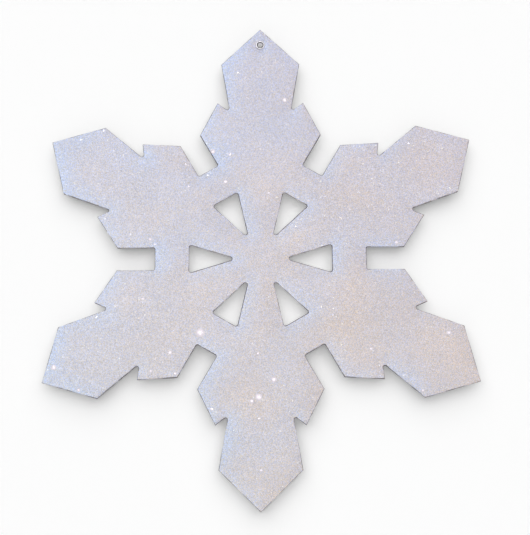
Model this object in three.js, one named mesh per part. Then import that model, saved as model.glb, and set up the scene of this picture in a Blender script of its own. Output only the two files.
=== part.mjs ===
// A flat snowflake star to hang up: a stiff board core with glitter paper on both faces,
// and a metal eyelet with its washer through the top arm.
//
// Millimetres, +Z up, front face towards -Y. The origin is the middle of the eyelet's hole,
// halfway through the thickness of the board.

import * as THREE from "three";

// The arms are alike and stand evenly round the centre. Each two have a slot and a window
// between them.
const ARM_COUNT = 6;

// Slot between two arms, along the line that runs out from the centre between them.
const SLOT_FLOOR_DISTANCE = 76.1; // centre to the slot's floor
const SLOT_DEPTH = 27.4; // floor to mouth
const SLOT_WIDTH = 17;

// Triangular window on the same line, with its point towards the centre.
const WINDOW_POINT_DISTANCE = 16.6; // centre to the window's point
const WINDOW_WEB = 24.4; // board between the window's base and the slot's floor
const WINDOW_WIDTH = 21.3;

// Outer part of an arm, along and across its axis.
const BARB_RISE = 24.8; // slot's mouth up to the points of the barbs
const BARB_SPREAD = 63.6; // from one barb's point to the other's
const NECK_DROP = 7.1; // points of the barbs down to the corners of the neck
const NECK_WIDTH = 44.7;
const HEAD_RISE = 38.1; // corners of the neck up to the widest place of the head
const HEAD_WIDTH = 58.1;
const TIP_RISE = 28.1; // widest place of the head up to the tip

// Every inner corner is cut with this radius. Outer corners are sharp.
const INNER_CORNER_RADIUS = 1.6;

// Layers, glued face to face.
const BOARD_THICKNESS = 2;
const PAPER_THICKNESS = 0.25;

// Eyelet: its flange lies on the front paper, and its barrel is rolled over the washer.
const EYELET_BELOW_TIP = 12.6; // tip of the top arm down to the middle of the hole
const BORE_DIAMETER = 3.8;
const BARREL_WALL = 0.35;
const BARREL_CLEARANCE = 0.3; // between the barrel and the holes it passes through
const FLANGE_LAP = 1.05; // flange beyond the edge of the hole
const FLANGE_HEIGHT = 0.8;
const ROLL_LAP = 0.65; // rolled end beyond the edge of the hole
const ROLL_HEIGHT = 0.6;
const WASHER_MARGIN = 1; // washer beyond the rolled end
const WASHER_THICKNESS = 0.3;

// Fineness of the curves: steps in each corner's arc, in a hole or a turned piece, and in
// the section of the flange.
const CORNER_STEPS = 4;
const ROUND_STEPS = 32;
const LIP_STEPS = 8;

const halfPitch = Math.PI / ARM_COUNT;
const pitch = 2 * halfPitch;

// Heights on an arm's axis, from the centre of the star.
const slotMouthCorner = slotCorner(SLOT_FLOOR_DISTANCE + SLOT_DEPTH);
const slotFloorCorner = slotCorner(SLOT_FLOOR_DISTANCE);
const barbHeight = slotMouthCorner.y + BARB_RISE;
const neckHeight = barbHeight - NECK_DROP;
const headHeight = neckHeight + HEAD_RISE;
const tipHeight = headHeight + TIP_RISE;
const eyeletHeight = tipHeight - EYELET_BELOW_TIP;

// Depths, counted towards the front from the middle of the board.
const boardFront = BOARD_THICKNESS / 2;
const paperFront = boardFront + PAPER_THICKNESS;
const washerBack = -(paperFront + WASHER_THICKNESS);

// Radii of the eyelet and of what it passes through.
const boreRadius = BORE_DIAMETER / 2;
const barrelRadius = boreRadius + BARREL_WALL;
const holeRadius = barrelRadius + BARREL_CLEARANCE;
const flangeRadius = holeRadius + FLANGE_LAP;
const rollRadius = holeRadius + ROLL_LAP;
const washerRadius = rollRadius + WASHER_MARGIN;

const glitterPaper = new THREE.MeshStandardMaterial({
  color: 0xd2cfd7,
  roughness: 0.5,
  metalness: 0.1,
});
const greyBoard = new THREE.MeshStandardMaterial({
  color: 0xa39a92,
  roughness: 0.9,
  metalness: 0,
});
const nickel = new THREE.MeshStandardMaterial({
  color: 0xd0cfd2,
  roughness: 0.25,
  metalness: 1,
});

/** Corner of the slot on an arm's right side, at a distance along the slot's middle line. */
function slotCorner(distance) {
  const alongSlot = new THREE.Vector2(Math.sin(halfPitch), Math.cos(halfPitch));
  const towardsArm = new THREE.Vector2(-alongSlot.y, alongSlot.x);
  return alongSlot.multiplyScalar(distance).addScaledVector(towardsArm, SLOT_WIDTH / 2);
}

/** A sharp corner of an outline. */
function sharp(x, y) {
  return { point: new THREE.Vector2(x, y), radius: 0 };
}

/** A corner of an outline with the cutter's radius in it. */
function rounded(x, y) {
  return { point: new THREE.Vector2(x, y), radius: INNER_CORNER_RADIUS };
}

/** The same corner on the other side of the arm's axis. */
function mirrored({ point, radius }) {
  return { point: new THREE.Vector2(-point.x, point.y), radius };
}

/** The same corner turned round the centre of the star. */
function turned({ point, radius }, angle) {
  return { point: point.clone().rotateAround(new THREE.Vector2(), angle), radius };
}

/** Draws a closed outline into a path, with an arc in each corner that has a radius. */
function drawOutline(path, corners) {
  corners.forEach(({ point, radius }, index) => {
    const before = corners.at(index - 1).point.clone().sub(point);
    const after = corners[(index + 1) % corners.length].point.clone().sub(point);
    if (radius === 0) {
      if (index === 0) path.moveTo(point.x, point.y);
      else path.lineTo(point.x, point.y);
      return;
    }
    const halfAngle = before.angleTo(after) / 2;
    // Two arcs may share an edge, so neither takes as much as half of it.
    const roomOnEdge = 0.45 * Math.min(before.length(), after.length());
    const arcRadius = Math.min(radius, roomOnEdge * Math.tan(halfAngle));
    const clockwise = before.cross(after) > 0;
    const reach = arcRadius / Math.tan(halfAngle);
    const start = before.normalize().clone().multiplyScalar(reach);
    const end = after.normalize().clone().multiplyScalar(reach);
    const centre = before.add(after).normalize().multiplyScalar(arcRadius / Math.sin(halfAngle));
    const startAngle = start.sub(centre).angle();
    const endAngle = end.sub(centre).angle();
    centre.add(point);
    path.absarc(centre.x, centre.y, arcRadius, startAngle, endAngle, clockwise);
  });
  path.closePath();
}

/** Outline of the whole star, with its windows and the hole for the eyelet. */
function starShape() {
  const rightSide = [
    rounded(slotFloorCorner.x, slotFloorCorner.y),
    sharp(slotMouthCorner.x, slotMouthCorner.y),
    sharp(BARB_SPREAD / 2, barbHeight),
    rounded(NECK_WIDTH / 2, neckHeight),
    sharp(HEAD_WIDTH / 2, headHeight),
  ];
  const leftSide = rightSide.map(mirrored).reverse();
  const arm = [...rightSide, sharp(0, tipHeight), ...leftSide];
  const windowBase = SLOT_FLOOR_DISTANCE - WINDOW_WEB;
  const windowCorners = [
    rounded(0, WINDOW_POINT_DISTANCE),
    rounded(WINDOW_WIDTH / 2, windowBase),
    rounded(-WINDOW_WIDTH / 2, windowBase),
  ];

  const outline = [];
  const shape = new THREE.Shape();
  for (let index = 0; index < ARM_COUNT; index++) {
    outline.push(...arm.map((corner) => turned(corner, index * pitch)));
    const window = new THREE.Path();
    drawOutline(window, windowCorners.map((corner) => turned(corner, (index + 0.5) * pitch)));
    shape.holes.push(window);
  }
  drawOutline(shape, outline);
  shape.holes.push(eyeletHole());
  return shape;
}

/** Round hole in the top arm, drawn as arcs that add up to ROUND_STEPS steps. */
function eyeletHole() {
  const path = new THREE.Path();
  const arcCount = Math.round(ROUND_STEPS / CORNER_STEPS);
  const sweep = (2 * Math.PI) / arcCount;
  for (let index = 0; index < arcCount; index++) {
    path.absarc(0, eyeletHeight, holeRadius, index * sweep, (index + 1) * sweep);
  }
  return path;
}

/** One layer of the star between two depths. */
function layer(name, back, front, material) {
  const geometry = new THREE.ExtrudeGeometry(starShape(), {
    depth: front - back,
    bevelEnabled: false,
    curveSegments: CORNER_STEPS / 2, // an arc gets two steps for each
  });
  // Each face takes its depth as given, so that two layers meet in exactly one plane.
  const position = geometry.attributes.position;
  for (let index = 0; index < position.count; index++) {
    position.setZ(index, position.getZ(index) > 0 ? front : back);
  }
  const mesh = new THREE.Mesh(geometry, material);
  mesh.name = name;
  return mesh;
}

/** A piece turned round the eyelet's axis, from its section as radius and depth. */
function turnedPiece(name, section, material) {
  const points = [...section, section[0]].map(
    ([radius, depth]) => new THREE.Vector2(radius, -depth),
  );
  const mesh = new THREE.Mesh(new THREE.LatheGeometry(points, ROUND_STEPS), material);
  mesh.name = name;
  return mesh;
}

/** Section of a domed lip from the bore to a radius, standing on a face at a depth. */
function lipSection(outerRadius, seatDepth, height) {
  const middle = (boreRadius + outerRadius) / 2;
  const halfWidth = (outerRadius - boreRadius) / 2;
  return Array.from({ length: LIP_STEPS + 1 }, (_, step) => {
    const angle = (step / LIP_STEPS) * Math.PI;
    const rise = step === LIP_STEPS ? 0 : height * Math.sin(angle);
    return [middle - halfWidth * Math.cos(angle), seatDepth + rise];
  });
}

/** Eyelet: flange in front, barrel through the layers, rolled end behind the washer. */
function eyelet() {
  const section = [
    ...lipSection(flangeRadius, paperFront, FLANGE_HEIGHT),
    [barrelRadius, paperFront],
    [barrelRadius, washerBack],
    ...lipSection(rollRadius, washerBack, -ROLL_HEIGHT).reverse(),
  ];
  return turnedPiece("hanging_eyelet", section, nickel);
}

/** Flat ring between the back paper and the eyelet's rolled end. */
function washer() {
  const section = [
    [holeRadius, -paperFront],
    [washerRadius, -paperFront],
    [washerRadius, washerBack],
    [holeRadius, washerBack],
  ];
  return turnedPiece("eyelet_washer", section, nickel);
}

// The outline is drawn flat and stands up here, with the eyelet's hole at the origin.
const layers = new THREE.Group();
layers.rotation.x = Math.PI / 2;
layers.position.z = -eyeletHeight;
layers.add(
  layer("core_board", -boardFront, boardFront, greyBoard),
  layer("front_glitter_paper", boardFront, paperFront, glitterPaper),
  layer("back_glitter_paper", -paperFront, -boardFront, glitterPaper),
);

const star = new THREE.Group();
star.add(layers, eyelet(), washer());

export default star;
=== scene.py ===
"""Looks, studio and camera of a hanging snowflake star in board and glitter paper.

Everything is in metres and in the part's own frame: +Z up, the front face towards -Y, and
the origin in the middle of the eyelet's hole.
"""

from __future__ import annotations

import logging
import math
import random
from collections.abc import Mapping, Sequence
from dataclasses import dataclass, field
from enum import Enum
from typing import Any

import bmesh
import bpy
from bpy.types import ColorRamp, Material, Mesh, Node, NodeSocket, NodeTree, Object
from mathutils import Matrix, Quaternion, Vector
from mathutils.geometry import tessellate_polygon
from mathutils.kdtree import KDTree

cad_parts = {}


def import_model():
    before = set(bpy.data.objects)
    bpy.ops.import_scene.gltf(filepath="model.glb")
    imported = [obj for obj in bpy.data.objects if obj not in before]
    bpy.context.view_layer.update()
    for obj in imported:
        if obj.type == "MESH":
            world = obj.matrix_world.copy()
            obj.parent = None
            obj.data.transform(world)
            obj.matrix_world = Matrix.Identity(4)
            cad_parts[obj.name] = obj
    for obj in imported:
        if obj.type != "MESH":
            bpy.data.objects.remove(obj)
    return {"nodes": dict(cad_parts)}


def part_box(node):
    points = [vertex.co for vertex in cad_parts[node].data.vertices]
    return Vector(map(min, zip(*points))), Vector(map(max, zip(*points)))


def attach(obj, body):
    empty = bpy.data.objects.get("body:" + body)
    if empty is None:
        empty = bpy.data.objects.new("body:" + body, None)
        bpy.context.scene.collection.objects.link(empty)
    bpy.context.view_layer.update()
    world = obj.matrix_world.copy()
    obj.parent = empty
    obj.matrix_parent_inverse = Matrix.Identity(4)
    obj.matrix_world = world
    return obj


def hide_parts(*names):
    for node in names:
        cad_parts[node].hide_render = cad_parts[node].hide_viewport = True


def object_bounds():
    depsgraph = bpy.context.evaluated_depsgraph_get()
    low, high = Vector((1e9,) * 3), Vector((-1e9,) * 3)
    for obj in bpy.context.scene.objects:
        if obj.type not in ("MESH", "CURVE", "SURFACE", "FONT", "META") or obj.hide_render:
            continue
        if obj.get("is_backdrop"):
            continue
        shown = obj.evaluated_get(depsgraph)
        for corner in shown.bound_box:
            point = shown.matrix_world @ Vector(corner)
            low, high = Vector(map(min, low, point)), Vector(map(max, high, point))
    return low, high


LOG = logging.getLogger("snowflake_star")
MM = 0.001
HOLE_REACH = 4 * MM  # a loop with no corner further out than this is the eyelet's hole
SAME_DEPTH = 0.01 * MM  # corners this close in depth are on one face
SAME_POINT = 0.002 * MM  # points this close to a cut are on it
TINY_AREA = 1e-14  # a triangle of no more than this is a line
SHARPEST = 0.35  # least share by which an offset is divided at a sharp corner
FLAT = 0.9999  # least share of Y in the normal of a face that lies flat
FLAKE_LIFT = 0.01 * MM  # from the face up to the lowest corner of a flake
BODY = "root"

Pair = tuple[float, float]
Triple = tuple[float, float, float]
Colour = Triple
Point = Triple
Loop = list[Vector]


class Side(Enum):
    """A face of the star, with the way that it looks along Y."""

    FRONT = -1
    BACK = 1


class Use(Enum):
    """What a lamp is for."""

    LIGHT = "even light on every surface, never seen in metal"
    SPARK = "a spark in each shiny grain that leans the right way, and nothing else"


class Slot(Enum):
    """Material slots of the record, which no piece in this script takes over."""

    PAPER = "glitter_paper"
    METAL = "nickel"


# Shader building


class Socket:
    """One output of a shader node, on which Python's operators add further nodes."""

    def __init__(self, graph: Graph, link: NodeSocket) -> None:
        """Keeps the output and the graph that it belongs to."""
        self.graph = graph
        self.link = link

    def _join(self, operation: str, first: Any, second: Any) -> Socket:
        """Adds a Math node, or a Vector Math node where a vector or colour takes part.

        Args:
            operation: name of the sum, which both kinds of node share.
            first: left operand, a socket or a number.
            second: right operand, a socket or a number.

        Returns:
            The node's result.
        """
        wide = any(
            isinstance(part, (tuple, Vector))
            or (isinstance(part, Socket) and part.link.type in ("VECTOR", "RGBA"))
            for part in (first, second)
        )
        kind = "ShaderNodeVectorMath" if wide else "ShaderNodeMath"
        return self.graph.node(kind, {"operation": operation}, {0: first, 1: second})[0]

    def __add__(self, other: Any) -> Socket:
        """Sum."""
        return self._join("ADD", self, other)

    __radd__ = __add__

    def __sub__(self, other: Any) -> Socket:
        """Difference."""
        return self._join("SUBTRACT", self, other)

    def __rsub__(self, other: Any) -> Socket:
        """Difference, with the socket on the right."""
        return self._join("SUBTRACT", other, self)

    def __mul__(self, other: Any) -> Socket:
        """Product."""
        return self._join("MULTIPLY", self, other)

    __rmul__ = __mul__

    def __gt__(self, other: float) -> Socket:
        """1 where the socket's number is over the other, else 0."""
        return self._join("GREATER_THAN", self, other)


class Outputs:
    """The outputs of one shader node, picked by name or by number."""

    def __init__(self, graph: Graph, node: Node) -> None:
        """Keeps the node and its graph."""
        self.graph = graph
        self.made = node

    def __getitem__(self, name: str | int) -> Socket:
        """The output of that name or number."""
        return Socket(self.graph, self.made.outputs[name])


class Graph:
    """The node tree of one material or of the world."""

    def __init__(self, tree: NodeTree) -> None:
        """Empties the tree."""
        tree.nodes.clear()
        self.tree = tree

    @classmethod
    def of_material(cls, name: str) -> tuple[Material, Graph]:
        """Makes a material with an empty tree.

        Args:
            name: the material's name.

        Returns:
            The material and its graph.
        """
        material = bpy.data.materials.new(name)
        material.use_nodes = True
        return material, cls(material.node_tree)

    def node(
        self,
        kind: str,
        settings: Mapping[str, Any] | None = None,
        inputs: Mapping[str | int, Any] | None = None,
    ) -> Outputs:
        """Adds a node.

        Args:
            kind: the node's type.
            settings: what is set on the node first; "stops" are a ramp's positions and
                colours.
            inputs: values or links of its sockets, by name or by number.

        Returns:
            The node's outputs.
        """
        made = self.tree.nodes.new(kind)
        for name, value in (settings or {}).items():
            if name == "stops":
                self._set_stops(made.color_ramp, value)
            else:
                setattr(made, name, value)
        for name, value in (inputs or {}).items():
            socket = made.inputs[name]
            if isinstance(value, Socket):
                self.tree.links.new(value.link, socket)
            else:
                socket.default_value = self._fitted(value, socket)
        return Outputs(self, made)

    @staticmethod
    def _set_stops(ramp: ColorRamp, stops: Sequence[tuple[float, Colour]]) -> None:
        """Gives a colour ramp its stops.

        Args:
            ramp: the ramp.
            stops: position and colour of each stop, in order.
        """
        while len(ramp.elements) < len(stops):
            ramp.elements.new(1.0)
        for element, (position, colour) in zip(ramp.elements, stops, strict=True):
            element.position = position
            element.color = (*colour, 1.0)

    @staticmethod
    def _fitted(value: Any, socket: NodeSocket) -> Any:
        """Brings a value into the shape that a socket takes.

        Args:
            value: a number, a colour, a vector or a word.
            socket: the socket.

        Returns:
            The value, with its alpha where it is a colour.
        """
        if socket.type == "RGBA":
            return (*value, 1.0) if len(value) == 3 else value
        if socket.type == "VECTOR" and isinstance(value, (int, float)):
            return (value, value, value)
        return value

    def blend(self, share: Any, first: Any, second: Any) -> Socket:
        """Mixes two colours, all of the first at 0 and all of the second at 1."""
        inputs = {0: share, 6: first, 7: second}
        return self.node("ShaderNodeMix", {"data_type": "RGBA"}, inputs)[2]

    def fade(self, value: Socket, low: float, high: float) -> Socket:
        """Smooth step of a value from 0 at low to 1 at high."""
        inputs = {"Value": value, "From Min": low, "From Max": high}
        return self.node("ShaderNodeMapRange", {"interpolation_type": "SMOOTHSTEP"}, inputs)[0]

    def larger(self, first: Any, second: Any) -> Socket:
        """The larger of two numbers."""
        return self.node("ShaderNodeMath", {"operation": "MAXIMUM"}, {0: first, 1: second})[0]

    def part(self, vector: Socket, axis: str) -> Socket:
        """One coordinate of a vector."""
        return self.node("ShaderNodeSeparateXYZ", {}, {0: vector})[axis]

    def length(self, vector: Socket) -> Socket:
        """Length of a vector."""
        return self.node("ShaderNodeVectorMath", {"operation": "LENGTH"}, {0: vector})["Value"]

    def place(self) -> Socket:
        """The point on the piece, in metres."""
        return self.node("ShaderNodeTexCoord")["Object"]

    def noise(self, place: Socket, size: float, detail: float = 2.0) -> Socket:
        """Cloudy noise from 0 to 1, with clouds of a size in metres."""
        inputs = {"Vector": place, "Scale": 1 / size, "Detail": detail}
        return self.node("ShaderNodeTexNoise", {}, inputs)[0]

    def attribute(self, name: str) -> Socket:
        """A number that the mesh carries on its points."""
        return self.node("ShaderNodeAttribute", {"attribute_name": name})["Fac"]

    def bump(self, height: Socket, depth: float) -> Socket:
        """The way that a surface with fine relief looks, of a depth in metres."""
        return self.node("ShaderNodeBump", {}, {"Height": height, "Distance": depth})[0]

    def principled(self, inputs: Mapping[str, Any]) -> Socket:
        """The general surface shader with the given sockets set."""
        return self.node("ShaderNodeBsdfPrincipled", {}, inputs)[0]

    def glow(self, strength: float) -> Socket:
        """White light of the surface's own."""
        return self.node("ShaderNodeEmission", {}, {"Strength": strength})[0]

    def mix(self, share: Socket, first: Socket, second: Socket) -> Socket:
        """Mixes two shaders, all of the first at 0 and all of the second at 1."""
        return self.node("ShaderNodeMixShader", {}, {0: share, 1: first, 2: second})[0]

    def finish(self, shader: Socket, output: str = "ShaderNodeOutputMaterial") -> None:
        """Ends the tree with a shader as its surface."""
        self.node(output, {}, {"Surface": shader})

    def finish_one_sided(self, front: Socket) -> None:
        """Ends the tree for a sheet that is clear from behind.

        Args:
            front: the shader of its front.
        """
        clear = self.node("ShaderNodeBsdfTransparent")[0]
        behind = self.node("ShaderNodeNewGeometry")["Backfacing"]
        self.finish(self.mix(behind, front, clear))


# Finishes


@dataclass(frozen=True)
class GlitterPaper:
    """Pearly paper under a dense coat of fine glitter, gone at the very edge, with painted shade
    there.

    The pearl drifts in colour over the star. Each drift is a change in the share of red,
    green and blue. The drifts across the star and at left and right cuts are painted light.

    Attributes:
        grain: width of one glitter grain.
        tilt: how far the grains lean out of the face, as a slope.
        contrast: how much lighter or darker one grain is than the next.
        play: drift from one grain to the next.
        silver: share of the grains that mirror the light.
        pearl: colour of the coat in the middle of the star.
        light_rightward: painted light, a drift from the middle to the right.
        light_downward: painted light, a drift from the middle down.
        at_cut: drift close to any cut.
        light_at_left_cut: painted light close to a left edge, and painted shade close to a right
            edge.
        clouded: drift from cloud to cloud.
        cloud: width of the clouds.
        cloud_start: where in the pattern of clouds the star lies.
        shine: how much lighter or darker the coat is from one shiny patch to the next.
        shine_width: width of those patches.
        shine_start: where in the pattern of those patches the star lies.
        bare_and_shade: colour at the cut where the coat is off, near black, so partly painted
            shade.
        patch: width of the patches in which the coat comes off, and how uneven they are.
        worn_and_shaded: edge mark at which the coat starts to come off into painted shade, and
            is gone.
        silver_end: edge mark at which no silver grain is left.
        roughness: of the smoothest grain, and how much more for the roughest grain and at the
            cut.
        film: thickness of the film on the grains in nanometres, and its index.
    """

    grain: float = 0.37 * MM
    tilt: float = 0.45
    contrast: float = 0.515
    play: Colour = (-0.19, 0.0, 0.46)
    silver: float = 0.003
    pearl: Colour = (0.665, 0.622, 0.661)
    # Painted light: colour and brightness drift across the star and at left and right cuts.
    light_rightward: Colour = (-0.011, -0.053, -0.086)
    light_downward: Colour = (0.025, 0.004, -0.052)
    at_cut: Colour = (-0.047, 0.006, 0.069)
    light_at_left_cut: Colour = (0.006, 0.062, 0.122)
    clouded: Colour = (0.2, 0.0, -0.27)
    cloud: float = 45 * MM
    cloud_start: Point = (-0.75, -0.17, -0.85)
    shine: float = 0.1
    shine_width: float = 40.5 * MM
    shine_start: Point = (0.3, 0.7, 0.1)
    # Near black: partly paper where the coat is off, partly a painted shade line along the cut.
    bare_and_shade: Colour = (0.065, 0.052, 0.06)
    patch: Pair = (1.5 * MM, 0.35)
    worn_and_shaded: Pair = (0.42, 0.72)
    silver_end: float = 0.3
    roughness: Triple = (0.3, 0.25, 0.3)
    film: Pair = (320.0, 1.45)

    def _tint(self, graph: Graph, place: Socket, middle: Point, reach: float) -> Socket:
        """How the coat's colour differs from the pearl, with painted light, as a share of each
        primary.

        Args:
            graph: the material's graph.
            place: the point on the star.
            middle: the middle of the star.
            reach: half the width of the star.

        Returns:
            The shares, 1 where there is no drift.
        """
        offset = (place - middle) * (1 / reach)
        hue = graph.noise(place + self.cloud_start, self.cloud, detail=1.5) - 0.5
        shine = graph.noise(place + self.shine_start, self.shine_width, detail=0.0) - 0.5
        # Painted light across the star: lighter and cooler at left cuts, darker and warmer at
        # right cuts.
        tint = graph.part(offset, "X") * self.light_rightward - graph.part(offset, "Z") * self.light_downward
        tint += graph.attribute("edge_near") * self.at_cut
        tint += graph.attribute("edge_left") * self.light_at_left_cut
        return tint + hue * self.clouded + self.shine * shine + (1.0, 1.0, 1.0)

    def material(self, name: str, middle: Point, reach: float) -> Material:
        """Makes the material for one face.

        Args:
            name: the material's name.
            middle: the middle of the star.
            reach: half the width of the star.

        Returns:
            The material.
        """
        material, graph = Graph.of_material(name)
        place = graph.place()
        grains = graph.node(
            "ShaderNodeTexVoronoi", {}, {"Vector": place, "Scale": 1 / self.grain}
        )
        dice = graph.node("ShaderNodeTexWhiteNoise", {}, {"Vector": grains["Position"]})
        chance = graph.node("ShaderNodeSeparateColor", {}, {0: dice["Color"]})
        light = 1 - self.contrast / 2 + self.contrast * chance[1]
        shift = (chance[0] - 0.5) * self.play + (1.0, 1.0, 1.0)
        coat = self._tint(graph, place, middle, reach) * self.pearl * light * shift

        # The edge of every cut: partly the coat coming off, partly a near-black painted shade
        # line.
        wear_and_shade = graph.attribute("edge_wear")
        patch, uneven = self.patch
        torn = uneven * (graph.noise(place, patch, detail=3.0) - 0.5)
        worn_and_shaded = graph.fade(wear_and_shade + torn, *self.worn_and_shaded)
        silver = (chance[2] > 1 - self.silver) * (1 - graph.fade(wear_and_shade, 0.0, self.silver_end))

        face = graph.node("ShaderNodeNewGeometry")["Normal"]
        lean = (grains["Color"] - 0.5) * self.tilt
        normal = graph.node(
            "ShaderNodeVectorMath", {"operation": "NORMALIZE"}, {0: face + lean}
        )[0]
        smoothest, rougher, roughest = self.roughness
        surface = {
            "Base Color": graph.blend(worn_and_shaded, coat, self.bare_and_shade),
            "Metallic": silver,
            "Roughness": smoothest + rougher * chance[1] * (1 - silver) + roughest * worn_and_shaded,
            "Normal": normal,
            "Thin Film Thickness": self.film[0],
            "Thin Film IOR": self.film[1],
        }
        graph.finish(graph.principled(surface))
        return material


@dataclass(frozen=True)
class LooseFlake:
    """Bright cut flakes of film, each with its own tint.

    Attributes:
        tints: colours of the film, each with its place in the range from 0 to 1.
        grit: how much rougher a flake is in places, and how wide those places are.
        metal: share of the light that the film mirrors as metal does.
    """

    tints: tuple[tuple[float, Colour], ...] = (
        (0.0, (0.55, 0.60, 0.77)),
        (0.3, (0.64, 0.63, 0.69)),
        (0.6, (0.70, 0.61, 0.65)),
        (0.8, (0.66, 0.65, 0.59)),
        (1.0, (1.0, 1.0, 1.0)),
    )
    grit: Pair = (0.12, 0.3 * MM)
    metal: float = 0.85

    def material(self) -> Material:
        """Makes the material, which reads each flake's tint and blur from the mesh.

        Returns:
            The material.
        """
        material, graph = Graph.of_material("loose_flake")
        tint = graph.node(
            "ShaderNodeValToRGB", {"stops": self.tints}, {"Fac": graph.attribute("tint")}
        )["Color"]
        place = graph.place()
        film = graph.attribute("blur") + self.grit[0] * graph.noise(place, self.grit[1])
        sheen = graph.node("ShaderNodeAttribute", {"attribute_name": "sheen"})["Vector"]
        ways = {"vector_type": "NORMAL", "convert_from": "OBJECT", "convert_to": "WORLD"}
        normal = graph.node("ShaderNodeVectorTransform", ways, {0: sheen})[0]
        surface = {
            "Base Color": tint,
            "Metallic": self.metal,
            "Roughness": film,
            "Normal": normal,
        }
        graph.finish(graph.principled(surface))
        return material


@dataclass(frozen=True)
class GreyBoard:
    """Cut edge and face of pressed grey board, with its plies and loose fibres.

    Attributes:
        dark: colour of the darker fibres.
        pale: colour of the paler fibres.
        ply: thickness of one ply.
        ply_share: how much of the pattern is plies, the rest being clumps of fibre.
        stretch: how drawn out a ply is along the board.
        fibre: length of the fibre clumps.
        contrast: where in the pattern the dark ends and the pale begins.
        relief: depth of the pattern.
        roughness: where there is no fibre, and how much more on a clump.
        gloss: strength of its faint sheen.
    """

    dark: Colour = (0.62, 0.60, 0.58)
    pale: Colour = (0.84, 0.82, 0.795)
    ply: float = 0.35 * MM
    ply_share: float = 0.55
    stretch: float = 0.15
    fibre: float = 1.1 * MM
    contrast: Pair = (0.35, 0.65)
    relief: float = 0.08 * MM
    roughness: Pair = (0.82, 0.14)
    gloss: float = 0.25

    def material(self) -> Material:
        """Makes the material.

        Returns:
            The material.
        """
        material, graph = Graph.of_material("grey_board")
        place = graph.place()
        layers = place * (self.stretch, self.fibre / self.ply, self.stretch)
        plies = graph.noise(layers, self.fibre, detail=3.0)
        clumps = graph.noise(place, self.fibre, detail=5.0)
        pattern = self.ply_share * plies + (1 - self.ply_share) * clumps
        surface = {
            "Base Color": graph.blend(graph.fade(pattern, *self.contrast), self.dark, self.pale),
            "Roughness": self.roughness[0] + self.roughness[1] * clumps,
            "Normal": graph.bump(clumps + plies, self.relief),
            "Specular IOR Level": self.gloss,
        }
        graph.finish(graph.principled(surface))
        return material


@dataclass(frozen=True)
class Nickel:
    """Bright nickel plate, darkened by painted shade where its mesh carries shade.

    Attributes:
        bright: colour of the open metal.
        painted_shade: colour of the painted shade, on the ring into the bore and on hidden
            sides.
        stain: width of the stains, and how far they shift the edge of the painted shade.
        shade_ramp: shade at which the painted shade begins, and at which it is full.
        scratch: width of the fine scratches, and their depth.
        stretch: how drawn out a scratch is along the hole.
        roughness: of clean metal, and how much more for scratches and in the painted shade.
    """

    bright: Colour = (0.6, 0.59, 0.63)
    # Painted shade colour, for the dark ring and the hidden sides.
    painted_shade: Colour = (0.05, 0.045, 0.045)
    stain: Pair = (0.9 * MM, 0.3)
    shade_ramp: Pair = (0.15, 0.85)
    scratch: Pair = (0.12 * MM, 0.01 * MM)
    stretch: float = 0.2
    roughness: Triple = (0.33, 0.1, 0.15)

    def material(self) -> Material:
        """Makes the material, which reads the depth of its painted shade from the mesh.

        Returns:
            The material.
        """
        material, graph = Graph.of_material("nickel_plate")
        place = graph.place()
        stains = self.stain[1] * (graph.noise(place, self.stain[0], detail=4.0) - 0.5)
        # Painted shade from the mesh's shade numbers, its edge broken by stains.
        shaded = graph.fade(graph.attribute("shade") + stains, *self.shade_ramp)
        scratches = graph.noise(place * (1.0, self.stretch, 1.0), self.scratch[0])
        clean, scratched, in_shade = self.roughness
        surface = {
            "Base Color": graph.blend(shaded, self.bright, self.painted_shade),
            "Metallic": 1.0,
            "Roughness": clean + scratched * scratches + in_shade * shaded,
            "Normal": graph.bump(scratches, self.scratch[1]),
        }
        graph.finish(graph.principled(surface))
        return material


# Shared mesh work


def placed(name: str, data: Any, turn: Quaternion | None = None) -> Object:
    """Puts data in the scene as an object.

    Args:
        name: the object's name.
        data: its mesh, camera or lamp.
        turn: how it is turned, if at all.

    Returns:
        The object.
    """
    thing = bpy.data.objects.new(name, data)
    if turn is not None:
        thing.rotation_mode = "QUATERNION"
        thing.rotation_quaternion = turn
    bpy.context.scene.collection.objects.link(thing)
    return thing


def carry(mesh: Mesh, numbers: Mapping[str, Sequence[float]]) -> None:
    """Lets the points of a mesh carry numbers for its material, by name."""
    for name, values in numbers.items():
        mesh.attributes.new(name, "FLOAT", "POINT").data.foreach_set("value", values)


def pairs_round(ring: Sequence[Any]) -> list[tuple[Any, Any]]:
    """Each member of a closed ring with the one after it."""
    return list(zip(ring, [*ring[1:], ring[0]], strict=True))


def made_object(
    name: str,
    points: Sequence[Point | Vector],
    faces: Sequence[tuple[int, ...]],
    material: Material,
    numbers: Mapping[str, Sequence[float]] | None = None,
) -> Object:
    """Makes a mesh object in the scene.

    Args:
        name: name of the object and of its mesh.
        points: places of its points.
        faces: point numbers of each face.
        material: its one material.
        numbers: numbers that its points carry for the material, by name.

    Returns:
        The object.
    """
    mesh = bpy.data.meshes.new(name)
    mesh.from_pydata(points, [], faces)
    mesh.validate()
    carry(mesh, numbers or {})
    mesh.materials.append(material)
    return placed(name, mesh)


def rectangle(name: str, low: Point, high: Point, material: Material) -> Object:
    """Makes a rectangle from one corner to the opposite one, with two sides along X."""
    corners = (low, (high[0], low[1], low[2]), high, (low[0], high[1], high[2]))
    return made_object(name, corners, [(0, 1, 2, 3)], material)


def dress(node: Object, material: Material) -> None:
    """Gives a piece that keeps its solid from the frame its own material."""
    node.data.materials.clear()
    node.data.materials.append(material)


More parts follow.
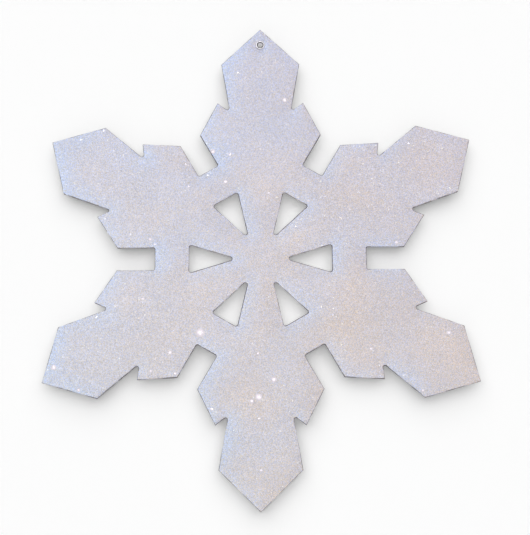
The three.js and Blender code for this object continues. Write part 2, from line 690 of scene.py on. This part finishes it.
@dataclass
class StarOutline:
    """Outline of the star in its own plane, as X and Z, with its windows and its hole.

    Attributes:
        loops: closed loops, each with the board on its left as seen from the front.
    """

    loops: list[Loop]

    @classmethod
    def of_node(cls, node: Object, depth: float) -> StarOutline:
        """Reads the outline off the face of a solid.

        Args:
            node: the solid.
            depth: the Y of the face.

        Returns:
            The outline.
        """
        mesh = node.data
        places: dict[tuple[int, int], Vector] = {}
        edges: dict[tuple[tuple[int, int], tuple[int, int]], None] = {}
        for polygon in mesh.polygons:
            corners = [mesh.vertices[index].co for index in polygon.vertices]
            if any(abs(corner.y - depth) > SAME_DEPTH for corner in corners):
                continue
            # Corners are told apart by their place in thousandths of a millimetre.
            keys = [(round(spot.x / MM * 1000), round(spot.z / MM * 1000)) for spot in corners]
            if sum(a[0] * b[1] - b[0] * a[1] for a, b in pairs_round(keys)) < 0:
                keys.reverse()
            for key in keys:
                places[key] = Vector((key[0] * MM / 1000, key[1] * MM / 1000))
            edges.update(dict.fromkeys(pairs_round(keys)))
        follows = {start: end for start, end in edges if (end, start) not in edges}
        loops = []
        while follows:
            first, key = follows.popitem()
            loop = [places[first]]
            while key != first:
                loop.append(places[key])
                key = follows.pop(key)
            loops.append(loop)
        return cls(loops)

    def inset(self, *widths: float) -> StarOutline:
        """The outline drawn in towards the board.

        Args:
            widths: how far each edge moves, for each loop or once for all of them.

        Returns:
            A new outline with the same points in the same order.
        """
        moved = []
        each = widths if len(widths) > 1 else widths * len(self.loops)
        for loop, width in zip(self.loops, each, strict=True):
            drawn = []
            for index, corner in enumerate(loop):
                before = (corner - loop[index - 1]).normalized()
                after = (loop[(index + 1) % len(loop)] - corner).normalized()
                normal = Vector((-before.y - after.y, before.x + after.x)).normalized()
                share = max(SHARPEST, normal.dot(Vector((-before.y, before.x))))
                drawn.append(corner + normal * (width / share))
            moved.append(drawn)
        return StarOutline(moved)

    def overhung(self, outer: float, window: float) -> StarOutline:
        """The outline moved out past every cut, but not into the eyelet's hole.

        Args:
            outer: how far the outer edge moves.
            window: how far the edge of each window moves.

        Returns:
            A new outline with the same points in the same order.
        """
        rim = self.rim()
        widths = [-outer if loop is rim else -window for loop in self.loops]
        for index, loop in enumerate(self.loops):
            if max(corner.length for corner in loop) < HOLE_REACH:
                widths[index] = 0.0
        return self.inset(*widths)

    def rim(self) -> Loop:
        """The loop round the outside of the star."""
        return max(self.loops, key=lambda loop: max(corner.x for corner in loop))

    def points(self, depth: float) -> list[Point]:
        """All its points at one depth, loop after loop."""
        return [(corner.x, depth, corner.y) for loop in self.loops for corner in loop]

    def triangles(self) -> list[tuple[int, int, int]]:
        """Fills the board between its loops.

        Returns:
            Point numbers of each triangle, as seen from the front.
        """
        flat = [[corner.to_3d() for corner in loop] for loop in self.loops]
        corners = [corner for loop in self.loops for corner in loop]
        made = []
        for a, b, c in tessellate_polygon(flat):
            turn = (corners[b] - corners[a]).cross(corners[c] - corners[a])
            if abs(turn) > TINY_AREA:
                made.append((a, b, c) if turn > 0 else (a, c, b))
        return made

    def neighbours(self) -> list[tuple[int, int]]:
        """Follows each loop from point to point.

        Returns:
            Both point numbers of each edge.
        """
        pairs, start = [], 0
        for loop in self.loops:
            pairs += pairs_round(range(start, start + len(loop)))
            start += len(loop)
        return pairs


# The camera and the studio


@dataclass(frozen=True)
class PhotoCamera:
    """The camera of the photograph, a little below the middle of the star.

    Attributes:
        position: where it stands.
        aim: the point of the front face in the middle of the picture.
        roll: its turn round its own line of sight, in degrees.
        focal_px: its focal length in pixels of the photograph.
        picture: width and height of the photograph in pixels.
        sensor: width of its sensor in millimetres, along the picture's longer side.
    """

    position: Point = (0.0114, -0.7122, -0.3280)
    aim: Point = (0.0032, -0.0013, -0.1719)
    roll: float = -0.163
    focal_px: float = 1011.9
    picture: tuple[int, int] = (530, 535)
    sensor: float = 36.0

    def turn(self) -> Quaternion:
        """How the camera is turned."""
        look = Vector(self.aim) - Vector(self.position)
        return look.to_track_quat("-Z", "Y") @ Quaternion((0, 0, 1), math.radians(self.roll))

    def build(self) -> None:
        """Makes the camera and gives it to the scene."""
        data = bpy.data.cameras.new("photo_camera")
        data.sensor_width = self.sensor
        data.lens = self.focal_px / max(self.picture) * self.sensor
        data.clip_start = 10 * MM
        camera = placed("photo_camera", data, self.turn())
        camera.location = self.position
        bpy.context.scene.camera = camera

    def point_at(self, pixel: Pair, depth: float) -> Vector:
        """Where the line of sight through a pixel meets a plane of the star.

        Args:
            pixel: column and row in the photograph.
            depth: the plane's Y.

        Returns:
            The point.
        """
        column, row = pixel
        wide, high = self.picture
        local = Vector((column - wide / 2, high / 2 - row, -self.focal_px))
        ray = self.turn() @ local
        start = Vector(self.position)
        return start + ray * ((depth - start.y) / ray.y)


@dataclass(frozen=True)
class StudioLamp:
    """A round lamp so far away that it lights the star evenly.

    Attributes:
        name: its name.
        azimuth: its bearing round the star in degrees, 0 in front and 90 on the right.
        elevation: its height above the horizon in degrees.
        spread: how wide it looks from the star, in degrees.
        share: light that it puts on the star's face, where 1 shows white.
        use: what it is for.
    """

    name: str
    azimuth: float
    elevation: float
    spread: float
    share: float
    use: Use = Use.LIGHT

    def direction(self) -> Vector:
        """From the star towards the lamp."""
        turn, rise = math.radians(self.azimuth), math.radians(self.elevation)
        return Vector(
            (math.sin(turn) * math.cos(rise), -math.cos(turn) * math.cos(rise), math.sin(rise))
        )

    def build(self) -> None:
        """Makes the lamp."""
        data = bpy.data.lights.new(self.name, "SUN")
        data.angle = math.radians(self.spread)
        data.energy = self.share * math.pi / abs(self.direction().y)
        lamp = placed(self.name, data, (-self.direction()).to_track_quat("-Z", "Y"))
        lamp.visible_camera = False
        lamp.visible_glossy = self.use is Use.SPARK
        lamp.visible_diffuse = self.use is Use.LIGHT


@dataclass(frozen=True)
class Studio:
    """White wall close behind the star, pale floor below it, and soft lamps.

    Attributes:
        white: brightness of the wall and of what lies beyond it.
        floor_tone: colour of the floor.
        floor_polish: roughness of the floor, and the strength of its sheen.
        ambient: light from all round, where 1 shows white.
        bounce: light straight up from below on top of that, as a pale floor gives.
        wall_gap: from the star's back to the wall.
        flag_gap: from the star's back to the dark card behind it.
        flag_tone: colour of that card.
        wall_size: width of the wall and its height above the star's middle.
        wall_glow: brightness of the wall's own light.
        wall_shadow: how much of the wall's brightness a shadow can take away.
        window_shadow: the same close behind the windows.
        window_glow: brightness of the wall's own light there, for light thrown back by the star.
        window_zone: how far from the middle of the star that lasts, and where it has ended.
        floor_drop: from the star's lowest point down to the floor.
        floor_size: side of the floor.
        floor_fade: how far out the floor begins to turn white, and where it is white.
        cove: how far out from the wall the floor begins to turn white as well.
        lamps: the lamps.
    """

    white: float = 0.98
    floor_tone: Colour = (0.83, 0.83, 0.84)
    floor_polish: Pair = (0.7, 0.2)
    ambient: float = 0.24
    bounce: float = 0.52
    wall_gap: float = 7 * MM
    flag_gap: float = 0.2 * MM
    flag_tone: Colour = (0.15, 0.15, 0.15)
    wall_size: Pair = (3.0, 1.4)
    wall_glow: float = 1.1
    wall_shadow: float = 0.875
    window_shadow: float = 0.94
    window_glow: float = 3.1
    window_zone: Pair = (50 * MM, 72 * MM)
    floor_drop: float = 0.25
    floor_size: float = 8.0
    floor_fade: Pair = (1.0, 3.6)
    cove: float = 0.35
    lamps: tuple[StudioLamp, ...] = (
        StudioLamp("front_softbox", -2, 33, 94, 0.638),
        StudioLamp("front_spark", -10, 28, 2.0, 0.12, Use.SPARK),
        StudioLamp("back_softbox", 182, 33, 94, 0.641),
        StudioLamp("back_spark", 190, 28, 2.0, 0.12, Use.SPARK),
    )

    def lamp(self, name: str) -> StudioLamp:
        """The lamp of that name."""
        return next(lamp for lamp in self.lamps if lamp.name == name)

    def build(self, low: Vector, high: Vector, outline: StarOutline) -> None:
        """Makes the studio round the star.

        Args:
            low: lowest corner of the star's box.
            high: highest corner of the star's box.
            outline: the star's outline.
        """
        middle = (low + high) / 2
        for lamp in self.lamps:
            lamp.build()
        self._build_world()
        ground, wall = low.z - self.floor_drop, high.y + self.wall_gap
        self._build_floor(ground, wall)
        self._build_wall(wall, ground, middle)
        self._build_flag(high.y + self.flag_gap, outline)

    def _build_world(self) -> None:
        """Dim light all round, and plain white for the camera, for metal and for glass."""
        world = bpy.data.worlds.new("studio")
        bpy.context.scene.world = world
        world.use_nodes = True
        graph = Graph(world.node_tree)
        path = graph.node("ShaderNodeLightPath")
        seen = graph.larger(path["Is Camera Ray"], path["Is Transmission Ray"])
        seen = graph.larger(seen, path["Is Glossy Ray"])
        height = graph.part(graph.node("ShaderNodeTexCoord")["Generated"], "Z")
        around = self.ambient + self.bounce * graph.larger(0.0 - height, 0.0)
        strength = around * (1 - seen) + self.white * seen
        white = (1.0, 1.0, 1.0)
        light = graph.node("ShaderNodeBackground", {}, {"Color": white, "Strength": strength})[0]
        graph.finish(light, "ShaderNodeOutputWorld")

    def _build_floor(self, height: float, wall: float) -> None:
        """Pale floor that melts into the white around it and lets the view from below through.

        Args:
            height: the Z of the floor.
            wall: the Y of the wall.
        """
        material, graph = Graph.of_material("studio_floor")
        place = graph.place()
        rough, sheen = self.floor_polish
        paint = graph.principled(
            {"Base Color": self.floor_tone, "Roughness": rough, "Specular IOR Level": sheen}
        )
        far = graph.fade(graph.length(place), *self.floor_fade)
        near = graph.fade(graph.part(place, "Y"), wall - self.cove, wall)
        graph.finish_one_sided(graph.mix(graph.larger(far, near), paint, graph.glow(self.white)))
        half = self.floor_size / 2
        floor = rectangle("studio_floor", (-half, -half, height), (half, half, height), material)
        # The floor throws no light up at the star, so that its lower edges stay in shade.
        floor.visible_diffuse = False
        floor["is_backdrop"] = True

    def _build_wall(self, depth: float, foot: float, middle: Vector) -> None:
        """White wall that takes the star's shadow and lets the view from behind through.

        Args:
            depth: the Y of the wall.
            foot: the Z of its lower edge.
            middle: the middle of the star.
        """
        material, graph = Graph.of_material("studio_wall")
        paint = graph.node("ShaderNodeBsdfDiffuse", {}, {"Color": (self.white,) * 3})[0]
        away = graph.length(graph.place() - (0.0, depth, middle.z))
        outside = graph.fade(away, *self.window_zone)
        share = self.window_shadow + (self.wall_shadow - self.window_shadow) * outside
        glow = graph.mix(outside, graph.glow(self.window_glow), graph.glow(self.wall_glow))
        graph.finish_one_sided(graph.mix(share, glow, paint))
        half, top = self.wall_size[0] / 2, middle.z + self.wall_size[1]
        wall = rectangle("studio_wall", (-half, depth, foot), (half, depth, top), material)
        # The wall only shows to the camera, so that light reaches the back of the star.
        wall.visible_diffuse = wall.visible_glossy = wall.visible_transmission = False
        wall.visible_shadow = False
        wall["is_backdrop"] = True

    def _build_flag(self, depth: float, outline: StarOutline) -> None:
        """Dark card that only the wall sees, and so not the lamps' light on the back.

        Args:
            depth: the Y of the card.
            outline: the outline of the card.
        """
        material, graph = Graph.of_material("studio_flag")
        graph.finish_one_sided(
            graph.node("ShaderNodeBsdfDiffuse", {}, {"Color": self.flag_tone})[0]
        )
        # Painted shade: a dark card that only deepens the star's shadow on the wall.
        faces = [face[::-1] for face in outline.triangles()]
        flag = made_object("studio_flag", outline.points(depth), faces, material)
        flag.visible_camera = flag.visible_glossy = flag.visible_transmission = False
        flag.visible_shadow = False
        flag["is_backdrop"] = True


# The star


@dataclass(frozen=True)
class Flake:
    """One flat flake of glitter, which leans as a whole.

    Attributes:
        place: its middle, on the face.
        sheen: the way that its film looks.
        radius: from its middle to a corner.
        blur: roughness of its film.
        tint: place of its colour in the range of tints.
        sides: how many corners it has.
    """

    place: Vector
    sheen: Vector
    radius: float
    blur: float
    tint: float
    sides: int = 6

    def lift(self, outward: Vector) -> float:
        """How far its middle is off the face, with its lowest corner just over the face."""
        slope = math.sqrt(max(0.0, 1 - self.sheen.dot(outward) ** 2))
        return self.radius * slope + FLAKE_LIFT

    def arm(self, angle: float) -> tuple[Vector, Vector]:
        """The way from its middle to a corner, and the sheen there."""
        along = self.sheen.cross(Vector((0, 0, 1))).normalized()
        return along * math.cos(angle) + self.sheen.cross(along) * math.sin(angle), self.sheen

    def corners(self, outward: Vector, spin: float) -> list[tuple[Vector, Vector]]:
        """Its middle and its corners.

        Args:
            outward: the way that the face looks.
            spin: its turn in its own plane.

        Returns:
            Place and sheen of the middle, and then of each corner in order.
        """
        middle = self.place + outward * self.lift(outward)
        made = [(middle, self.sheen)]
        for index in range(self.sides):
            way, sheen = self.arm(spin + 2 * math.pi * index / self.sides)
            made.append((middle + way * self.radius, sheen))
        return made


@dataclass(frozen=True)
class Glint(Flake):
    """A patch of flakes pressed flat into the coat, whose film turns away towards its rim.

    Attributes:
        spread: how far the film has turned at the rim, as a slope.
    """

    blur: float = 0.36
    tint: float = 0.45
    sides: int = 16
    spread: float = 0.3

    def lift(self, outward: Vector) -> float:
        """Just clear of the face, wherever that looks."""
        return FLAKE_LIFT

    def arm(self, angle: float) -> tuple[Vector, Vector]:
        """The way along the face to a corner, and the sheen there."""
        way = Vector((math.cos(angle), 0, math.sin(angle)))
        return way, (self.sheen + way * self.spread).normalized()


@dataclass(frozen=True)
class PhotoGlints:
    """The few bright sparks that stand out in the photograph.

    Attributes:
        sparks: column and row of each in the photograph, and its radius in millimetres.
    """

    sparks: tuple[Triple, ...] = (
        (200.2, 332.8, 3.15), (258.8, 397.0, 2.5), (273.9, 379.6, 2.0), (251.9, 401.2, 1.5),
        (169.9, 352.6, 1.6), (449.1, 332.5, 1.45), (284.7, 100.0, 1.85), (53.7, 367.5, 1.85),
        (225.6, 181.8, 1.5), (212.9, 151.4, 1.8), (150.1, 239.3, 1.2), (268.6, 193.1, 1.1),
        (396.4, 242.4, 1.1), (78.6, 390.1, 1.2), (230.1, 154.5, 1.1), (142.9, 299.0, 1.2),
        (175.1, 373.5, 1.1), (308.3, 200.8, 0.9), (150.7, 371.1, 1.0), (422.9, 390.5, 0.9),
        (211.8, 409.0, 1.1), (370.9, 348.7, 1.0), (258.0, 353.6, 1.0),
    )

    def glints(self, camera: PhotoCamera, light: Vector, depth: float) -> list[Glint]:
        """Patches that mirror a lamp into the camera.

        Args:
            camera: the camera.
            light: from the star towards the lamp.
            depth: the Y of the face.

        Returns:
            The patches.
        """
        made = []
        for column, row, radius in self.sparks:
            place = camera.point_at((column, row), depth)
            to_camera = (Vector(camera.position) - place).normalized()
            made.append(Glint(place, (to_camera + light).normalized(), radius * MM))
        return made


@dataclass
class GlitterFacing:
    """Glitter paper on one face of the star, with its pressed edge and its loose flakes.

    Attributes:
        node: the solid that the paper takes the place of.
        side: the face that it is on.
        overhang: how far the trimmed paper stands out over the board's outer edge.
        window_overhang: the same round each window.
        edge_width: how far in from the cut the paper is pressed down.
        edge_drop: how deep it is pressed at the cut.
        edge_steps: rings of faces across the pressed edge.
        window_shade: share by which a window's edge mark widens, as painted shade.
        window_shade_way: the way a window's cut looks where that painted shade is widest, as X
            and Z.
        grid: spacing of the points across the open face.
        cool_width: how far in from the cut the coat's colour is another.
        edge_blur: distance from the cut within which left and right run together.
        flake_count: loose flakes that stand out of the coat.
        flake_radius: smallest and largest radius of a flake.
        flake_lean: usual lean of a flake each way, in degrees.
        flake_blur: smallest and largest roughness of a flake.
        seed: start of the random numbers.
        outline: outline of the trimmed paper.
        depth: the Y of its open face.
        glue_depth: the Y of the board's face under it.
    """

    node: str
    side: Side
    overhang: float = 0.2 * MM
    window_overhang: float = 0.2 * MM
    edge_width: float = 0.8 * MM
    edge_drop: float = 0.22 * MM
    edge_steps: int = 6
    # Painted shade: window cuts that look up and to the left get a wider dark edge.
    window_shade: float = 0.75
    window_shade_way: Pair = (-0.7, 0.7)
    grid: float = 6 * MM
    cool_width: float = 9 * MM
    edge_blur: float = 0.3 * MM
    flake_count: int = 11500
    flake_radius: Pair = (0.16 * MM, 0.37 * MM)
    flake_lean: float = 13.0
    flake_blur: Pair = (0.235, 0.34)
    seed: int = 7
    outline: StarOutline = field(init=False)
    depth: float = field(init=False)
    glue_depth: float = field(init=False)

    def measure(self, solid: Object) -> None:
        """Takes the outline and the depths of the paper from its solid.

        Args:
            solid: the solid.
        """
        low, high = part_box(self.node)
        front = self.side is Side.FRONT
        self.depth, self.glue_depth = (low.y, high.y) if front else (high.y, low.y)
        outline = StarOutline.of_node(solid, self.depth)
        self.outline = outline.overhung(self.overhang, self.window_overhang)

    def build_paper(self, material: Material) -> Object:
        """Makes the paper with a pressed edge that rolls down to the cut.

        Args:
            material: its finish.

        Returns:
            The piece.
        """
        points: list[Point] = []
        for step in range(self.edge_steps + 1):
            angle = step / self.edge_steps * math.pi / 2
            ring = self.outline.inset(self.edge_width * (1 - math.sin(angle)))
            drop = self.edge_drop * (1 - math.cos(angle))
            points += ring.points(self.depth - self.side.value * drop)
        points += self.outline.points(self.glue_depth)

        count = len(points) // (self.edge_steps + 2)
        last = (self.edge_steps + 1) * count
        faces: list[tuple[int, ...]] = [*self.outline.inset(self.edge_width).triangles()]
        faces += [(last + a, last + c, last + b) for a, b, c in self.outline.triangles()]
        for near in range(0, last, count):
            far = near + count
            faces += [
                (near + a, far + a, far + b, near + b) for a, b in self.outline.neighbours()
            ]
        if self.side is Side.BACK:
            faces = [face[::-1] for face in faces]
        paper = made_object(f"{self.node}_sheet", points, faces, material)
        self._cut_into_grid(paper.data)
        self._mark_edges(paper.data)
        for polygon in paper.data.polygons:
            polygon.use_smooth = abs(polygon.normal.y) < FLAT
        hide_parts(self.node)
        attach(paper, BODY)
        return paper

    def _cut_into_grid(self, mesh: Mesh) -> None:
        """Cuts the paper along a square grid, so that its points can carry soft colours.

        Args:
            mesh: the paper's mesh.
        """
        low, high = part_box(self.node)
        shape = bmesh.new()
        shape.from_mesh(mesh)
        for axis, way in ((0, Vector((1, 0, 0))), (2, Vector((0, 0, 1)))):
            for step in range(1, int((high[axis] - low[axis]) / self.grid) + 1):
                everything = [*shape.verts, *shape.edges, *shape.faces]
                place = low + way * (step * self.grid)
                bmesh.ops.bisect_plane(
                    shape, geom=everything, dist=SAME_POINT, plane_co=place, plane_no=way
                )
        shape.to_mesh(mesh)
        shape.free()

    def _mark_edges(self, mesh: Mesh) -> None:
        """Notes on each point how close the cut is, and how much of a left edge it is.

        Args:
            mesh: the paper's mesh.
        """
        marks: list[Vector] = []
        widths: list[float] = []
        rim = self.outline.rim()
        for loop in self.outline.loops:
            for start, end in pairs_round(loop):
                pieces = max(1, math.ceil((end - start).length / MM))
                marks += [start.lerp(end, piece / pieces) for piece in range(pieces)]
                along = (end - start).normalized()
                # Painted shade: a window cut that looks up and to the left gets a wider dark
                # edge.
                shaded_side = max(0.0, Vector((along.y, -along.x)).dot(Vector(self.window_shade_way)))
                width = self.edge_width * (1 + self.window_shade * shaded_side * (loop is not rim))
                widths += [width] * pieces
        tree = KDTree(len(marks))
        for index, mark in enumerate(marks):
            tree.insert(mark.to_3d(), index)
        tree.balance()
        # Marks: the cut's edge, partly coat off and partly painted shade; painted light at left
        # cuts.
        numbers: dict[str, list[float]] = {"edge_wear": [], "edge_near": [], "edge_left": []}
        for vertex in mesh.vertices:
            spot = Vector((vertex.co.x, vertex.co.z, 0.0))
            mark, index, distance = tree.find(spot)
            near = math.exp(-((distance / self.cool_width) ** 2))
            to_right = (spot.x - mark.x) / max(distance, self.edge_blur)
            numbers["edge_wear"].append(max(0.0, 1 - distance / widths[index]))
            numbers["edge_near"].append(near)
            numbers["edge_left"].append(near * to_right)
        carry(mesh, numbers)

    def _spots(self, chance: random.Random, count: int) -> list[Vector]:
        """Random places all over the open face.

        Args:
            chance: source of the random numbers.
            count: how many places.

        Returns:
            The places, at the depth of the face.
        """
        open_face = self.outline.inset(self.edge_width + self.flake_radius[1])
        corners = open_face.points(self.depth)
        triangles = [[Vector(corners[i]) for i in face] for face in open_face.triangles()]
        areas = [(b - a).cross(c - a).length for a, b, c in triangles]
        spots = []
        for a, b, c in chance.choices(triangles, areas, k=count):
            u, v = chance.random(), chance.random()
            if u + v > 1:
                u, v = 1 - u, 1 - v
            spots.append(a + (b - a) * u + (c - a) * v)
        return spots

    def build_flakes(self, material: Material, glints: Sequence[Glint]) -> Object:
        """Makes the loose flakes, which lean a little every way.

        Args:
            material: their finish.
            glints: larger patches with a place and a sheen of their own.

        Returns:
            The piece.
        """
        chance = random.Random(self.seed)
        outward = Vector((0, self.side.value, 0))
        flakes: list[Flake] = []
        for spot in self._spots(chance, self.flake_count):
            across = math.tan(math.radians(chance.gauss(0, self.flake_lean)))
            upward = math.tan(math.radians(chance.gauss(0, self.flake_lean)))
            normal = outward + Vector((across, 0, upward))
            radius = chance.uniform(*self.flake_radius)
            blur = chance.uniform(*self.flake_blur)
            flakes.append(Flake(spot, normal.normalized(), radius, blur, chance.random()))
        flakes += glints

        points: list[Vector] = []
        faces: list[tuple[int, ...]] = []
        sheens: list[Vector] = []
        numbers: dict[str, list[float]] = {"tint": [], "blur": []}
        for flake in flakes:
            first = len(points)
            corners = flake.corners(outward, chance.uniform(0, math.pi))
            points += [place for place, _ in corners]
            sheens += [sheen for _, sheen in corners]
            numbers["tint"] += [flake.tint] * len(corners)
            numbers["blur"] += [flake.blur] * len(corners)
            rim = list(range(first + 1, len(points)))
            if isinstance(flake, Glint):
                faces += [(a, b, first) for a, b in pairs_round(rim)]
            else:
                faces.append(tuple(rim))
        name = f"{self.side.name.lower()}_loose_flakes"
        piece = made_object(name, points, faces, material, numbers)
        looks = piece.data.attributes.new("sheen", "FLOAT_VECTOR", "POINT").data
        looks.foreach_set("vector", [part for sheen in sheens for part in sheen])
        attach(piece, BODY)
        return piece


@dataclass
class TurnedMetal:
    """A small metal piece turned round the axis of the eyelet's hole.

    Attributes:
        name: its name.
        node: the solid that it takes the place of.
        section: its closed section, as radius, depth and painted shade of each point.
        shade_tilt: share by which painted shade is lighter at the top and darker at the bottom.
        steps: flats round the axis.
    """

    name: str
    node: str
    section: list[Triple]
    shade_tilt: float = 0.0
    steps: int = 96

    def build(self, material: Material) -> Object:
        """Turns the section and gives it its finish.

        Args:
            material: its finish.

        Returns:
            The piece.
        """
        count = len(self.section)
        points, shades = [], []
        for step in range(self.steps):
            angle = 2 * math.pi * step / self.steps
            for radius, depth, shade in self.section:
                points.append((radius * math.cos(angle), depth, radius * math.sin(angle)))
                # Painted shade, made lighter towards the top and darker towards the bottom.
                shades.append(min(1.0, shade * (1 - self.shade_tilt * math.sin(angle))))
        faces = [
            (here * count + low, here * count + high, there * count + high, there * count + low)
            for here, there in pairs_round(range(self.steps))
            for low, high in pairs_round(range(count))
        ]
        piece = made_object(self.name, points, faces, material, {"shade": shades})
        for polygon in piece.data.polygons:
            polygon.use_smooth = True
        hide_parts(self.node)
        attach(piece, BODY)
        return piece


@dataclass
class HangingEyelet:
    """The eyelet in the top arm and the washer that its end is rolled over.

    Attributes:
        bore_radius: radius of the hole through it.
        wall: thickness of its metal.
        lip_steps: points across a lip.
        fullness: how square a lip's dome is; 1 is an ellipse, and less is fuller.
        painted_shade_ring: where painted shade begins on the way over a lip to the bore, and the
            lengths over which it darkens and lightens again.
        shades: painted shade of the bore, of the hidden outside and of the washer's side.
        bore_inset: how deep in the hole the bore is straight.
        roll: width of the rolled end round the washer's hole.
        washer_bore: radius of the washer's hole.
        washer_round: radius of the washer's edges.
        shade_tilt: share by which the eyelet's painted shade is lighter at the top and darker
            below.
    """

    bore_radius: float = 1.9 * MM
    wall: float = 0.35 * MM
    lip_steps: int = 20
    fullness: float = 0.8
    # Painted shade: a dark ring where each lip turns into the bore.
    painted_shade_ring: Triple = (0.48, 0.12, 0.2)
    shades: Triple = (0.1, 0.6, 0.3)
    bore_inset: float = 0.3 * MM
    roll: float = 0.65 * MM
    washer_bore: float = 2.55 * MM
    washer_round: float = 0.1 * MM
    # Painted shade, lighter at the top of the eyelet and darker below.
    shade_tilt: float = 0.38

    def _lip(self, rim: float, seat: float, peak: float) -> list[Triple]:
        """Points over a domed lip, from the rim on its seat to the bore.

        Args:
            rim: radius of the rim.
            seat: depth of the face that it sits on.
            peak: depth of the top of the dome.

        Returns:
            Radius, depth and painted shade of each point.
        """
        middle, half = (rim + self.bore_radius) / 2, (rim - self.bore_radius) / 2
        begins, darkens, lightens = self.painted_shade_ring
        made = []
        for step in range(self.lip_steps + 1):
            angle = math.pi * step / self.lip_steps
            side = math.copysign(abs(math.cos(angle)) ** self.fullness, math.cos(angle))
            rise = math.sin(angle) ** self.fullness if 0 < step < self.lip_steps else 0.0
            turn = step / self.lip_steps
            # Painted shade: dark where the lip turns into the bore.
            shade = max(0.0, min(1.0, (turn - begins) / darkens, (1.0 - turn) / lightens))
            made.append((middle + half * side, seat + (peak - seat) * rise, shade))
        return made

    def build(self, material: Material) -> list[Object]:
        """Makes the eyelet and the washer.

        Args:
            material: the finish of both.

        Returns:
            Both pieces.
        """
        low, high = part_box("hanging_eyelet")
        washer_low, washer_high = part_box("eyelet_washer")
        front_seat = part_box("front_glitter_paper")[0].y
        back_seat = washer_high.y
        barrel = self.bore_radius + self.wall
        bored, hidden, side = self.shades
        section = self._lip(high.x, front_seat, low.y)
        section.append((self.bore_radius, front_seat + self.bore_inset, bored))
        section.append((self.bore_radius, back_seat - self.bore_inset, bored))
        section += self._lip(self.washer_bore + self.roll, back_seat, high.y)[::-1]
        section += [(barrel, back_seat, hidden), (barrel, front_seat, hidden)]
        eyelet = TurnedMetal("nickel_eyelet", "hanging_eyelet", section, self.shade_tilt)

        # The washer's outer edge is rounded by a point between its ends, and the rest is plain.
        inner, outer, edge = self.washer_bore, washer_high.x, self.washer_round
        # The last number of each point is painted shade, darker on the washer's sides.
        ring = [
            (outer - edge, washer_high.y, 0.0),
            (outer - 0.3 * edge, washer_high.y - 0.3 * edge, 0.0),
            (outer, washer_high.y - edge, 0.1),
            (outer, washer_low.y, side),
            (inner, washer_low.y, side),
            (inner, washer_high.y - edge, 0.2),
            (inner + edge, washer_high.y, 0.0),
        ]
        washer = TurnedMetal("nickel_washer", "eyelet_washer", ring[::-1])
        return [eyelet.build(material), washer.build(material)]


def main() -> None:
    """Builds the camera, the studio and the star, and reports its pieces."""
    logging.basicConfig(level=logging.INFO, format="%(message)s")
    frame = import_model()
    solids = frame["nodes"]
    low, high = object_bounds()
    bpy.context.scene.view_settings.view_transform = "Standard"

    facings = (
        GlitterFacing("front_glitter_paper", Side.FRONT, seed=7),
        GlitterFacing("back_glitter_paper", Side.BACK, window_overhang=0.05 * MM, seed=11),
    )
    for facing in facings:
        facing.measure(solids[facing.node])

    camera = PhotoCamera()
    camera.build()
    studio = Studio()
    studio.build(low, high, facings[1].outline)

    # The star's width is the distance from its middle to a tip times the root of three.
    star_middle = (0.0, 0.0, low.z + (high.x - low.x) / math.sqrt(3))
    reach = (high.x - low.x) / 2
    spark = studio.lamp("front_spark").direction()
    flake = LooseFlake().material()
    pieces = [solids["core_board"]]
    dress(pieces[0], GreyBoard().material())
    for facing in facings:
        front = facing.side is Side.FRONT
        coat = GlitterPaper().material(f"{facing.side.name.lower()}_glitter", star_middle, reach)
        glints = PhotoGlints().glints(camera, spark, facing.depth) if front else []
        pieces += [facing.build_paper(coat), facing.build_flakes(flake, glints)]
    pieces += HangingEyelet().build(Nickel().material())
    for piece in pieces:
        LOG.info("%s: %d faces", piece.name, len(piece.data.polygons))


if __name__ == "__main__":
    main()
